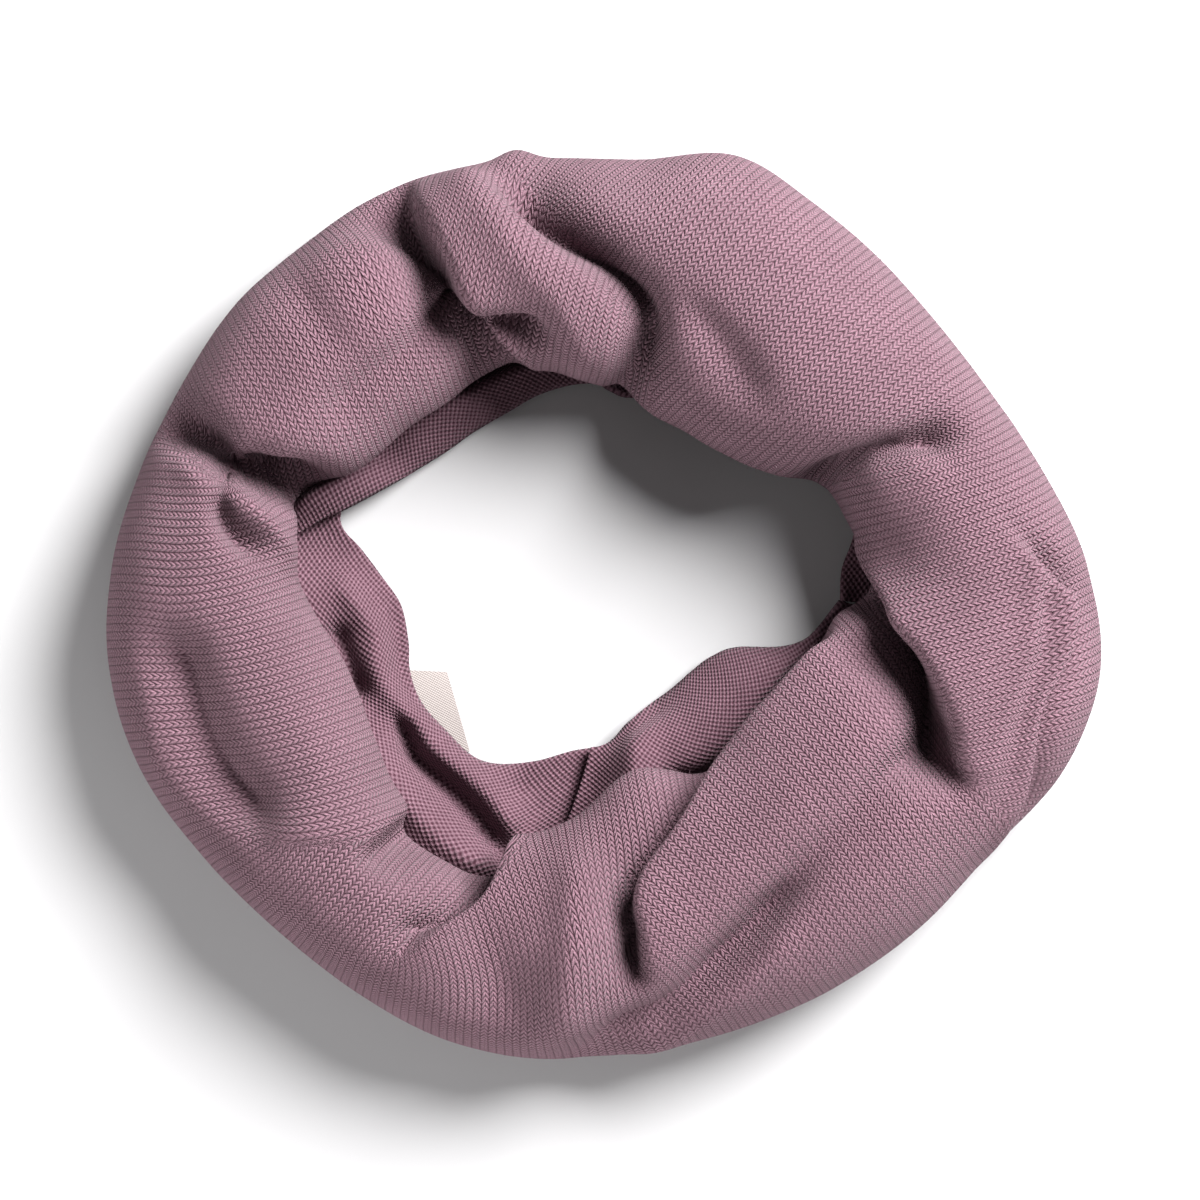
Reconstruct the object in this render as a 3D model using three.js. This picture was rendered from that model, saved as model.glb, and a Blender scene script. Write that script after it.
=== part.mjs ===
// An infinity scarf: one tube of knitted jersey, dropped on a table as a soft ring.
// The cloth comes up from the table round the outside with its knit face out, goes over the top and turns under at
// the ring's inner edge. Its lower end lies on the table and shows its purl side as a lip inside the ring.
// Units are millimetres, +Z is up, and the origin is on the table under the middle of the scarf.
import * as THREE from "three";

// Driving dimensions
const clothThickness = 2;
const seamGap = 0.3;
const ringCentre = { x: -1.1, y: 8.8 };

// The ring's sections, one every 12 degrees round the hole's centre, anticlockwise from +X. outer and edge are the
// distances from that centre to the roll's outermost point and to its inner edge, and top is its height.
const sections = [
  { angle: 0, outer: 110.5, edge: 59.5, top: 44 },
  { angle: 12, outer: 103, edge: 56, top: 45 },
  { angle: 24, outer: 97, edge: 47.5, top: 46 },
  { angle: 36, outer: 94.5, edge: 40, top: 47 },
  { angle: 48, outer: 94.5, edge: 36.5, top: 47 },
  { angle: 60, outer: 96, edge: 36, top: 46 },
  { angle: 72, outer: 98.5, edge: 36.5, top: 45 },
  { angle: 84, outer: 93.5, edge: 39, top: 43 },
  { angle: 96, outer: 93.5, edge: 44, top: 42 },
  { angle: 108, outer: 96, edge: 47.5, top: 42 },
  { angle: 120, outer: 98.5, edge: 48, top: 42 },
  { angle: 132, outer: 99.5, edge: 50, top: 42 },
  { angle: 144, outer: 102, edge: 53.5, top: 41 },
  { angle: 156, outer: 103.5, edge: 58, top: 39 },
  { angle: 168, outer: 106.5, edge: 68, top: 37 },
  { angle: 180, outer: 110.5, edge: 69, top: 38 },
  { angle: 192, outer: 113.5, edge: 64, top: 38 },
  { angle: 204, outer: 113.5, edge: 61.5, top: 38 },
  { angle: 216, outer: 111, edge: 63, top: 38 },
  { angle: 228, outer: 109.5, edge: 68.5, top: 37 },
  { angle: 240, outer: 110.5, edge: 73.5, top: 36 },
  { angle: 252, outer: 112, edge: 70.5, top: 36 },
  { angle: 264, outer: 111.5, edge: 59.5, top: 38 },
  { angle: 276, outer: 109.5, edge: 50, top: 40 },
  { angle: 288, outer: 108.5, edge: 47.5, top: 42 },
  { angle: 300, outer: 108.5, edge: 48.5, top: 45 },
  { angle: 312, outer: 108.5, edge: 46.5, top: 47 },
  { angle: 324, outer: 109, edge: 45.5, top: 47 },
  { angle: 336, outer: 114, edge: 47, top: 46 },
  { angle: 348, outer: 115.5, edge: 53, top: 45 },
];

// The shape of every section of the roll, from its foot on the table, up the outer wall, over the top and down to
// where it turns under. inward is a share of the section's width and height a share of its top.
const rollShape = [
  { inward: 0.22, height: 0 },
  { inward: 0.13, height: 0 },
  { inward: 0.04, height: 0.09 },
  { inward: 0, height: 0.36 },
  { inward: 0.04, height: 0.66 },
  { inward: 0.16, height: 0.88 },
  { inward: 0.36, height: 0.99 },
  { inward: 0.6, height: 0.97 },
  { inward: 0.8, height: 0.87 },
  { inward: 0.94, height: 0.67 },
  { inward: 1, height: 0.42 },
  { inward: 0.97, height: 0.24 },
  { inward: 0.88, height: 0.14 },
  { inward: 0.75, height: 0.12 },
];

// The folds that show on the roll, each along a path in plan from its first end to its last. left and right are how
// far the cloth stands out beside the path as one walks along it, or sinks where negative, and spreadLeft and
// spreadRight how far away that reaches. Where left and right differ, the higher side laps over the lower.
const rollFolds = [
  {
    name: "upper_left_valley",
    path: [[-44, 92], [-40, 81], [-35, 69.5], [-29.5, 61.5], [-21, 56.5]],
    left: -11, right: -11, spreadLeft: 5, spreadRight: 8,
  },
  {
    name: "tongue",
    path: [[-28, 84], [-18, 74], [-8, 64], [-1, 55]],
    left: 3.5, right: 3.5, spreadLeft: 6, spreadRight: 6,
  },
  {
    name: "tongue_valley",
    path: [[-19, 89.5], [-12, 82], [-5, 75], [0.5, 69.5], [4, 63], [4, 55]],
    left: -8, right: -8, spreadLeft: 8.5, spreadRight: 5,
  },
  {
    name: "upper_dent",
    path: [[21.5, 60.5], [31.5, 48]],
    left: -2.5, right: -2.5, spreadLeft: 8, spreadRight: 8,
  },
  {
    name: "right_shoulder",
    path: [[72, 34.5], [64, 35], [55, 32.5], [46.5, 27]],
    left: -4.5, right: -4.5, spreadLeft: 6, spreadRight: 6,
  },
  {
    name: "right_pocket",
    path: [[57, 13], [62, 4.5], [68, -7], [75, -19.5], [80, -31.5], [84, -43]],
    left: 2, right: -10, spreadLeft: 10, spreadRight: 9,
  },
  {
    name: "right_shelf",
    path: [[104.5, 9], [106, 2], [103, -12], [99, -25], [97, -38], [91, -51]],
    left: -3, right: 1, spreadLeft: 7, spreadRight: 8,
  },
  {
    name: "lower_lap",
    path: [[25, -33], [20, -39], [11.5, -53], [7, -58], [6, -65.5], [8, -74.5], [9.5, -86]],
    left: 2, right: -8, spreadLeft: 10, spreadRight: 8,
  },
  {
    name: "lower_cleft",
    path: [[-21, -58], [-26, -64], [-32, -69.5], [-39.5, -74.5], [-46.5, -76.5]],
    left: -5, right: -5, spreadLeft: 5, spreadRight: 5,
  },
  {
    name: "bottom_shelf",
    path: [[8, -99.5], [17, -92], [26, -84], [35, -74], [44, -63], [55, -51]],
    left: 1.5, right: -3, spreadLeft: 8, spreadRight: 8,
  },
  {
    name: "left_valley",
    path: [[-100, -9], [-94.5, -19.5], [-90, -30.5], [-85.5, -41], [-77, -49.5], [-64, -51.5]],
    left: -4.5, right: -4.5, spreadLeft: 7, spreadRight: 5.5,
  },
  {
    name: "left_pinch",
    path: [[-94.5, 40], [-88, 31.5], [-81, 27.5], [-71, 25]],
    left: -9, right: -9, spreadLeft: 7.5, spreadRight: 5,
  },
];

// Soft upright creases in the outer wall, below what shows from above. The one that stands out is the tip of an
// inner layer, which looks out past the rim.
const wallCreases = [
  { angle: 14, depth: 2.4, spread: 5 },
  { angle: 41, depth: 1.8, spread: 6 },
  { angle: 63, depth: 2.6, spread: 5 },
  { angle: 90, depth: 2.2, spread: 5 },
  { angle: 102, depth: -2, spread: 5 },
  { angle: 121, depth: 2, spread: 5.5 },
  { angle: 139, depth: 2.7, spread: 5 },
  { angle: 171, depth: 3, spread: 5 },
  { angle: 197, depth: 1.8, spread: 6 },
  { angle: 222, depth: 2.6, spread: 5 },
  { angle: 246, depth: 2, spread: 6 },
  { angle: 268, depth: 2.8, spread: 5 },
  { angle: 301, depth: 2.2, spread: 6 },
  { angle: 322, depth: 2.8, spread: 5 },
];

// The lower end of the tube, purl side up, in the three stretches that show inside the ring. Each runs round the
// ring from its start to its end, which lie at other angles at the hem than under the roll. One that has a lap
// lies over its neighbour for that many degrees at that end, and one that has a tuck lies flat under its neighbour.
// reach is the distance from the ring's centre to the hem.
const lipStretches = [
  {
    name: "upper_lip",
    startUnderRoll: -7.2, startAtHem: -7.2, endUnderRoll: 182, endAtHem: 182,
    lapAtStart: 0, lapAtEnd: 19, tuckAtStart: 0, tuckAtEnd: 0,
    hem: [
      { angle: -8, reach: 56 },
      { angle: 0, reach: 55 },
      { angle: 12, reach: 59 },
      { angle: 24, reach: 52 },
      { angle: 36, reach: 44 },
      { angle: 50, reach: 40 },
      { angle: 75, reach: 40 },
      { angle: 92, reach: 42.5 },
      { angle: 108, reach: 42.3 },
      { angle: 120, reach: 41.6 },
      { angle: 132, reach: 42.5 },
      { angle: 144, reach: 44.6 },
      { angle: 156, reach: 50 },
      { angle: 165, reach: 57.5 },
      { angle: 171, reach: 66 },
      { angle: 177, reach: 75 },
      { angle: 183, reach: 78 },
    ],
  },
  {
    name: "left_lip",
    startUnderRoll: 165, startAtHem: 165, endUnderRoll: 263, endAtHem: 275,
    lapAtStart: 0, lapAtEnd: 0, tuckAtStart: 5, tuckAtEnd: 10,
    hem: [
      { angle: 164, reach: 60.5 },
      { angle: 170, reach: 60 },
      { angle: 175, reach: 54.5 },
      { angle: 182, reach: 49.5 },
      { angle: 190, reach: 45 },
      { angle: 200, reach: 44 },
      { angle: 212, reach: 46.5 },
      { angle: 225, reach: 48.5 },
      { angle: 238, reach: 51 },
      { angle: 250, reach: 46.5 },
      { angle: 262, reach: 41.5 },
      { angle: 276, reach: 40 },
    ],
  },
  {
    name: "lower_lip",
    startUnderRoll: 251, startAtHem: 267, endUnderRoll: 352.4, endAtHem: 352.4,
    lapAtStart: 14, lapAtEnd: 0, tuckAtStart: 0, tuckAtEnd: 0,
    hem: [
      { angle: 250, reach: 41.5 },
      { angle: 270, reach: 40 },
      { angle: 280, reach: 35.3 },
      { angle: 290, reach: 32.6 },
      { angle: 302, reach: 31.4 },
      { angle: 312, reach: 31 },
      { angle: 322, reach: 32 },
      { angle: 331, reach: 36 },
      { angle: 340, reach: 48 },
      { angle: 353, reach: 56 },
    ],
  },
];

// Slow waves of the lip, higher where positive, each centred at an angle and a distance from the ring's centre
const lipWaves = [
  { angle: 128, distance: 49, height: 2, spread: 9 },
  { angle: 152, distance: 56, height: -2, spread: 7 },
  { angle: 184, distance: 60, height: 2.5, spread: 8 },
  { angle: 205, distance: 54, height: -2.5, spread: 8 },
  { angle: 226, distance: 62, height: 3, spread: 9 },
  { angle: 247, distance: 58, height: -2.5, spread: 8 },
  { angle: 276, distance: 44, height: 2, spread: 8 },
  { angle: 300, distance: 40, height: 3, spread: 10 },
];

// The woven tab sewn under the left lip's hem, as its four corners in plan
const labelThickness = 0.7;
const labelCorners = [[-46.5, -13.9], [-36, -14.4], [-30.8, -32.6], [-40.5, -32]];

const rollWallSlack = 1.6; // between the roll's wall and the layers inside it
const innerSpan = { start: 0.13, end: 0.92 }; // what the inner layers follow of the roll's section
const toeInward = 0.58; // a share of the section's width
const lookAround = [[0, 0], [5, 0], [-5, 0], [0, 5], [0, -5]]; // where the folds near a point are looked for
const foldSlack = 0.5; // more slack below a fold, as a share of its depth
const lapBlend = 6; // how wide the turn is where one side of a fold laps over the other
const foldFade = 6; // how far a fold takes to die away past its ends
const foldBand = { start: 0.12, full: 0.3, fading: 0.78, gone: 0.92 }; // shares of the way over the roll's section
const creaseBand = { start: 0.08, full: 0.16, fading: 0.2, gone: 0.34 };
const lapRamp = 14; // degrees that a lapping stretch takes to climb on to its neighbour
const lipCrest = 7;
const lipCrestShare = 0.45; // a narrow lip's crest, as a share of what shows of it
const lipFullness = 0.8; // under 1, the lip is rounder than a plain arch
const lipHemHeight = 1.2;
const lipWaveWidth = 14; // a lip that shows this much or more has its full waves
const lipRootInset = 2; // how far outside the roll's inner edge the lip starts to rise
const lipHemStart = 0.3; // the share of the lip at which it starts to lift towards its hem
const lapGap = 1.1; // between a lapping stretch and the one that it lies on
const lipRise = 16; // degrees that a stretch takes to rise from its flat ends to its full crest
const layersUnderRoll = 2 * clothThickness + lapGap + seamGap;

// How finely the walls are divided
const rollAround = 108;
const rollAcross = 17;
const lipStep = 4; // degrees
const lipAcross = 7;
const normalStep = { angle: 1, share: 0.02 };
const innerAround = 72;
const innerAcross = 11;

const { clamp, degToRad, euclideanModulo, lerp, smoothstep } = THREE.MathUtils;

// The value of a column of a table of angles, as a smooth curve through its rows. A closed table goes on round.
function tableValue(rows, column, angle, isClosed) {
  const count = rows.length;
  const turned = isClosed ? euclideanModulo(angle, 360) : angle;
  const at = (k) => {
    const row = rows[isClosed ? euclideanModulo(k, count) : clamp(k, 0, count - 1)];
    return { angle: row.angle + (isClosed ? 360 * Math.floor(k / count) : 0), value: row[column] };
  };
  let from = 0;
  while (from + 1 < count - (isClosed ? 0 : 1) && at(from + 1).angle <= turned) from += 1;
  const [before, left, right, after] = [at(from - 1), at(from), at(from + 1), at(from + 2)];
  const share = clamp((turned - left.angle) / (right.angle - left.angle), 0, 1);
  const leftSlope = (right.value - before.value) / 2;
  const rightSlope = (after.value - left.value) / 2;
  const cubic = 2 * (left.value - right.value) + leftSlope + rightSlope;
  const square = 3 * (right.value - left.value) - 2 * leftSlope - rightSlope;
  return ((cubic * share + square) * share + leftSlope) * share + left.value;
}

const sectionValue = (column, angle) => tableValue(sections, column, angle, true);

// A point at an angle and a distance from the ring's centre.
function ringPoint(angle, distance, height) {
  const x = ringCentre.x + distance * Math.cos(degToRad(angle));
  const y = ringCentre.y + distance * Math.sin(degToRad(angle));
  return new THREE.Vector3(x, y, height);
}

const rollCurve = new THREE.SplineCurve(rollShape.map((row) => new THREE.Vector2(row.inward, row.height)));

// A fold's path as short straight pieces of one smooth curve.
function foldLine(path) {
  const curve = new THREE.SplineCurve(path.map(([x, y]) => new THREE.Vector2(x, y)));
  return curve.getPoints(5 * path.length);
}

const drawnFolds = rollFolds.map((fold) => ({ ...fold, line: foldLine(fold.path) }));

// How far a point in plan lies beside a line, positive to its left, and how far past its nearer end.
function offsetFromLine(line, x, y) {
  let best = { distance: Infinity, beside: 0, past: 0 };
  for (let k = 0; k + 1 < line.length; k += 1) {
    const from = line[k];
    const dx = line[k + 1].x - from.x;
    const dy = line[k + 1].y - from.y;
    const length = Math.hypot(dx, dy);
    const along = ((x - from.x) * dx + (y - from.y) * dy) / length;
    const beside = ((y - from.y) * dx - (x - from.x) * dy) / length;
    const past = Math.abs(along - clamp(along, 0, length));
    const distance = Math.hypot(past, beside);
    if (distance < best.distance) {
      const isEnd = (k === 0 && along < 0) || (k + 2 === line.length && along > length);
      best = { distance, beside: isEnd ? beside : Math.sign(beside) * distance, past: isEnd ? past : 0 };
    }
  }
  return best;
}

// How far the roll's cloth stands out at a point in plan because of its folds.
function foldHeight(x, y) {
  return drawnFolds.reduce((height, fold) => {
    const { beside, past } = offsetFromLine(fold.line, x, y);
    const left = fold.left * Math.exp(-((beside / fold.spreadLeft) ** 2));
    const right = fold.right * Math.exp(-((beside / fold.spreadRight) ** 2));
    const fade = Math.exp(-((past / foldFade) ** 2));
    return height + lerp(right, left, smoothstep(beside, -lapBlend, lapBlend)) * fade;
  }, 0);
}

// How far the outer wall's creases sink it at an angle of the ring.
function creaseDepth(angle) {
  const outer = sectionValue("outer", angle);
  return wallCreases.reduce((depth, crease) => {
    const away = degToRad(euclideanModulo(angle - crease.angle + 180, 360) - 180) * outer;
    return depth + crease.depth * Math.exp(-((away / crease.spread) ** 2));
  }, 0);
}

// How strong the folds or creases of a band are at a share of the way over the roll's section.
function strengthAt(share, band) {
  return smoothstep(share, band.start, band.full) * (1 - smoothstep(share, band.fading, band.gone));
}

// The roll before it is folded, at an angle of the ring and a share of the way over its section.
function smoothRollPoint(angle, share) {
  const outer = sectionValue("outer", angle);
  const width = outer - sectionValue("edge", angle);
  const { x: inward, y: height } = rollCurve.getPointAt(clamp(share, 0, 1));
  return ringPoint(angle, outer - inward * width, height * sectionValue("top", angle));
}

// The direction that a surface faces, from points close by on it.
function normalOf(pointAt, angle, share) {
  const round = pointAt(angle + normalStep.angle, share).sub(pointAt(angle - normalStep.angle, share));
  const over = pointAt(angle, share + normalStep.share).sub(pointAt(angle, share - normalStep.share));
  return round.cross(over).normalize();
}

// The roll's outer face: the smooth roll, moved along its own normal by the folds and by the wall's creases.
function rollPoint(angle, share) {
  const point = smoothRollPoint(angle, share);
  const fold = foldHeight(point.x, point.y) * strengthAt(share, foldBand);
  const crease = creaseDepth(angle) * strengthAt(share, creaseBand);
  point.addScaledVector(normalOf(smoothRollPoint, angle, share), fold - crease);
  point.z = Math.max(point.z, share > 0.5 ? layersUnderRoll : 0);
  return point;
}

// How far a lapping stretch is lifted by the neighbour that it lies on, near either of its ends.
function lapLift(stretch, angle, start, end) {
  const share = (lap, away) => (lap > 0 ? 1 - smoothstep(away, lap, lap + lapRamp) : 0);
  const lifted = share(stretch.lapAtStart, angle - start) + share(stretch.lapAtEnd, end - angle);
  return lifted * (clothThickness + lapGap);
}

// The underside of a lip's stretch, at shares of the way along it and from the roll's foot in to its hem.
function lipPoint(stretch, along, inward) {
  const start = lerp(stretch.startUnderRoll, stretch.startAtHem, inward);
  const end = lerp(stretch.endUnderRoll, stretch.endAtHem, inward);
  const angle = lerp(start, end, along);
  const outer = sectionValue("outer", angle);
  const edge = sectionValue("edge", angle);
  const foot = outer - rollShape[0].inward * (outer - edge) - seamGap;
  const hem = tableValue(stretch.hem, "reach", angle, false);
  const distance = lerp(foot, hem, inward);
  const point = ringPoint(angle, distance, 0);
  const width = edge + lipRootInset - hem;
  const reach = clamp((edge + lipRootInset - distance) / Math.max(width, 1), 0, 1);
  const waves = lipWaves.reduce((height, wave) => {
    const away = point.distanceTo(ringPoint(wave.angle, wave.distance, 0));
    return height + wave.height * Math.exp(-((away / wave.spread) ** 2));
  }, 0);
  const crest = Math.min(lipCrest, width * lipCrestShare) + waves * smoothstep(width, 0, lipWaveWidth);
  const riseAtStart = smoothstep(angle - start - stretch.tuckAtStart, 0, lipRise);
  const rise = riseAtStart * smoothstep(end - stretch.tuckAtEnd - angle, 0, lipRise);
  const arch = reach > 0 ? Math.sin(Math.PI * reach) ** lipFullness * crest * rise : 0;
  const hemLift = lipHemHeight * smoothstep(reach, lipHemStart, 1);
  point.z = Math.max(0, arch) + hemLift + lapLift(stretch, angle, start, end);
  return point;
}

// The rounded bundle of layers inside the roll, as its section at an angle of the ring. It follows the wall's inner
// face, and ends in a toe beside the wall's curled end.
function innerSection(angle) {
  const low = layersUnderRoll + seamGap;
  const under = shares(innerAcross).map((part) => {
    const share = lerp(innerSpan.start, innerSpan.end, part);
    const point = rollPoint(angle, share);
    const folds = lookAround.map(([dx, dy]) => foldHeight(point.x + dx, point.y + dy));
    const inset = clothThickness + rollWallSlack - Math.min(0, ...folds) * foldSlack;
    point.addScaledVector(normalOf(rollPoint, angle, share), -inset);
    return point.setZ(Math.max(point.z, low));
  });
  const outer = sectionValue("outer", angle);
  const toe = ringPoint(angle, outer - toeInward * (outer - sectionValue("edge", angle)), low);
  return [...under, toe];
}

// A body from its points and the triangles between them.
function bodyGeometry(points, triangles) {
  const geometry = new THREE.BufferGeometry();
  geometry.setAttribute("position", new THREE.Float32BufferAttribute(points.flatMap((p) => p.toArray()), 3));
  geometry.setIndex(triangles.flat());
  geometry.computeVertexNormals();
  return geometry;
}

// The two triangles between four corners taken anticlockwise as seen from outside.
function quad(a, b, c, d) {
  return [a, b, c, a, c, d];
}

// A wall of cloth between two grids of points of the same size, closed at its edges, or going round the ring.
function wallGeometry(outside, inside, isRing) {
  const columns = outside.length;
  const rows = outside[0].length;
  const outer = (i, j) => (i % columns) * rows + j;
  const inner = (i, j) => columns * rows + outer(i, j);
  const spans = isRing ? columns : columns - 1;
  const triangles = [];
  for (let i = 0; i < spans; i += 1) {
    for (let j = 0; j + 1 < rows; j += 1) {
      triangles.push(quad(outer(i, j), outer(i + 1, j), outer(i + 1, j + 1), outer(i, j + 1)));
      triangles.push(quad(inner(i, j), inner(i, j + 1), inner(i + 1, j + 1), inner(i + 1, j)));
    }
    triangles.push(quad(outer(i + 1, 0), outer(i, 0), inner(i, 0), inner(i + 1, 0)));
    triangles.push(quad(outer(i, rows - 1), outer(i + 1, rows - 1), inner(i + 1, rows - 1), inner(i, rows - 1)));
  }
  for (let j = 0; j + 1 < rows && !isRing; j += 1) {
    triangles.push(quad(outer(0, j), outer(0, j + 1), inner(0, j + 1), inner(0, j)));
    triangles.push(quad(outer(spans, j + 1), outer(spans, j), inner(spans, j), inner(spans, j + 1)));
  }
  return bodyGeometry([...outside.flat(), ...inside.flat()], triangles);
}

// A solid whose section goes once round itself at each angle of the ring.
function ringGeometry(columns) {
  const around = columns.length;
  const rows = columns[0].length;
  const at = (i, j) => (i % around) * rows + (j % rows);
  const triangles = [];
  for (let i = 0; i < around; i += 1) {
    for (let j = 0; j < rows; j += 1) triangles.push(quad(at(i, j), at(i + 1, j), at(i + 1, j + 1), at(i, j + 1)));
  }
  return bodyGeometry(columns.flat(), triangles);
}

const shares = (count) => Array.from({ length: count + 1 }, (_, k) => k / count);
const turns = (count) => Array.from({ length: count }, (_, k) => (360 * k) / count);

function cloth(color, roughness = 0.95) {
  return new THREE.MeshStandardMaterial({ color, roughness, metalness: 0 });
}

const knitFace = cloth(0xa07a86);
const purlFace = cloth(0x946e7b);
const labelWeave = cloth(0xf0e2dc, 0.8);

function piece(name, geometry, material) {
  const mesh = new THREE.Mesh(geometry, material);
  mesh.name = name;
  return mesh;
}

// The stretch that shows its knit face: up the outer wall, over the top and under at the inner edge.
function rolledStretch() {
  const outside = turns(rollAround).map((angle) => shares(rollAcross).map((share) => rollPoint(angle, share)));
  const inside = turns(rollAround).map((angle, i) =>
    shares(rollAcross).map((share, j) => {
        const held = clamp(share, normalStep.share, 1 - normalStep.share);
      const point = outside[i][j].clone().addScaledVector(normalOf(rollPoint, angle, held), -clothThickness);
      point.z = Math.max(point.z, clothThickness + (share > 0.5 ? layersUnderRoll : 0));
      return point;
    }),
  );
  return piece("rolled_stretch", wallGeometry(outside, inside, true), knitFace);
}

// A stretch of the lower end, which shows its purl side.
function lip(stretch) {
  const count = Math.round((stretch.endUnderRoll - stretch.startUnderRoll) / lipStep);
  const under = shares(count).map((along) => shares(lipAcross).map((inward) => lipPoint(stretch, along, inward)));
  const over = under.map((column) => column.map((p) => p.clone().setZ(p.z + clothThickness)));
  return piece(stretch.name, wallGeometry(over, under, false), purlFace);
}

// The layers of cloth crumpled inside the roll, as one rounded solid.
function hiddenLayers() {
  return piece("hidden_layers", ringGeometry(turns(innerAround).map(innerSection)), purlFace);
}

function label() {
  const outline = new THREE.Shape(labelCorners.map(([x, y]) => new THREE.Vector2(x, y)));
  const geometry = new THREE.ExtrudeGeometry(outline, { depth: labelThickness, bevelEnabled: false });
  const mesh = piece("label", geometry, labelWeave);
  mesh.position.z = lipHemHeight - seamGap - labelThickness;
  return mesh;
}

const scarf = new THREE.Group();
scarf.add(rolledStretch(), ...lipStretches.map(lip), hiddenLayers(), label());

export default scarf;
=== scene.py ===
# %% [markdown]
# # An infinity scarf, dropped on a table
#
# The real thing is one tube of knitted jersey. It lies as a soft ring, seen from straight above: the knit
# face outside, the purl face showing as a lip inside the ring. Everything here is built round the packed
# solids, which are already at real size, so this script only has to give the cloth its folds and its
# stitches.

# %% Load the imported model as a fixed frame
import math

import bmesh
import bpy
import numpy as np
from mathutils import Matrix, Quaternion, Vector, noise


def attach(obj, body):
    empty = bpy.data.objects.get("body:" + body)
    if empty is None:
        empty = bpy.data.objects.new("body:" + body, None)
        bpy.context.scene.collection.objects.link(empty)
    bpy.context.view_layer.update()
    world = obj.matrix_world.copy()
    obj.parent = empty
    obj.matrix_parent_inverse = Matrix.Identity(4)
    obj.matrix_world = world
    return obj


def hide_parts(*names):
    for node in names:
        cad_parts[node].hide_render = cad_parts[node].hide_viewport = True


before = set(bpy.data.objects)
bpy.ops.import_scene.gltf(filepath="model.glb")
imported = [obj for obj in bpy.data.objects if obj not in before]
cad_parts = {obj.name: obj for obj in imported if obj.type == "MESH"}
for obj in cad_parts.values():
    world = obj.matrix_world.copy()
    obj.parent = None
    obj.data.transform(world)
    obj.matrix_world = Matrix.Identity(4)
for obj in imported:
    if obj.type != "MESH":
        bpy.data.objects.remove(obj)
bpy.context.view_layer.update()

MM = 0.001
print("nodes:", sorted(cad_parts))

# %% [markdown]
# ## Looking straight down
#
# The photograph was taken from above the table, so the picture plane lies level with the middle of the
# cloth. A long lens from 1.5 m keeps the outline free of perspective. The frame is 270 mm wide at that
# plane.

# %% The camera over the table
CAMERA_HEIGHT = 1.5
FRAME_WIDTH = 0.27
PICTURE_PLANE = 0.022
FRAME_CENTRE = (-0.0011, 0.0020)
camera_data = bpy.data.cameras.new("camera")
camera_data.sensor_width = 36
camera_data.lens = 36 * (CAMERA_HEIGHT - PICTURE_PLANE) / FRAME_WIDTH
camera_data.clip_start = 0.05
camera = bpy.data.objects.new("camera", camera_data)
camera.location = (*FRAME_CENTRE, CAMERA_HEIGHT)
bpy.context.scene.collection.objects.link(camera)
bpy.context.scene.camera = camera
print("lens", round(camera_data.lens, 1), "mm")

# %% [markdown]
# ## Studio light
#
# One broad lamp stands to the upper right, a little under half way up the sky, and throws a soft shadow to
# the lower left. White surroundings fill the shadows, and five weak panels stand low round the left and the
# front, where a bright room would light the cloth that faces away from the lamp. The floor is a plain sheet
# that the lamp lights to white. It is not part of the object.

# %% Lamp, surroundings and floor
KEY_DIRECTION = Vector((0.72, 0.70, 0.87)).normalized()
KEY_DISTANCE = 1.3
KEY_SIZE = 0.8
KEY_POWER = 97
FILL_STRENGTH = 0.235
FLOOR_SIZE = 3.0

key_data = bpy.data.lights.new("key", "AREA")
key_data.shape = "DISK"
key_data.size = KEY_SIZE
key_data.energy = KEY_POWER
key = bpy.data.objects.new("key", key_data)
key.location = KEY_DIRECTION * KEY_DISTANCE
key.rotation_euler = KEY_DIRECTION.to_track_quat("Z", "Y").to_euler()
bpy.context.scene.collection.objects.link(key)

PANELS = [
    # direction round the table in degrees, watts
    (150, 4), (185, 6), (225, 11), (265, 12.5), (300, 11),
]
PANEL_ELEVATION = math.radians(13)
PANEL_DISTANCE = 1.3
PANEL_WIDTH = 0.8
PANEL_HEIGHT = 0.3
for turned, watts in PANELS:
    turn = math.radians(turned)
    away = Vector((math.cos(turn), math.sin(turn), math.tan(PANEL_ELEVATION)))
    panel_data = bpy.data.lights.new("panel", "AREA")
    panel_data.shape = "RECTANGLE"
    panel_data.size = PANEL_WIDTH
    panel_data.size_y = PANEL_HEIGHT
    panel_data.energy = watts
    panel = bpy.data.objects.new("panel", panel_data)
    panel.location = away * PANEL_DISTANCE
    panel.rotation_euler = away.to_track_quat("Z", "Y").to_euler()
    bpy.context.scene.collection.objects.link(panel)

world = bpy.data.worlds.new("surroundings")
world.use_nodes = True
world.node_tree.nodes["Background"].inputs["Color"].default_value = (1.0, 1.0, 1.0, 1.0)
world.node_tree.nodes["Background"].inputs["Strength"].default_value = FILL_STRENGTH
bpy.context.scene.world = world
bpy.context.scene.view_settings.view_transform = "Standard"

floor_bm = bmesh.new()
bmesh.ops.create_grid(floor_bm, x_segments=1, y_segments=1, size=FLOOR_SIZE / 2)
floor_mesh = bpy.data.meshes.new("floor")
floor_bm.to_mesh(floor_mesh)
floor_bm.free()
floor = bpy.data.objects.new("floor", floor_mesh)
bpy.context.scene.collection.objects.link(floor)
floor_finish = bpy.data.materials.new("pale_floor")
floor_finish.use_nodes = True
floor_shader = floor_finish.node_tree.nodes["Principled BSDF"]
floor_shader.inputs["Base Color"].default_value = (0.342, 0.338, 0.342, 1.0)
floor_shader.inputs["Roughness"].default_value = 0.9
floor_shader.inputs["Specular IOR Level"].default_value = 0.1
floor_mesh.materials.append(floor_finish)
print("floor", FLOOR_SIZE, "m wide, lamp", KEY_POWER, "W")

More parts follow.
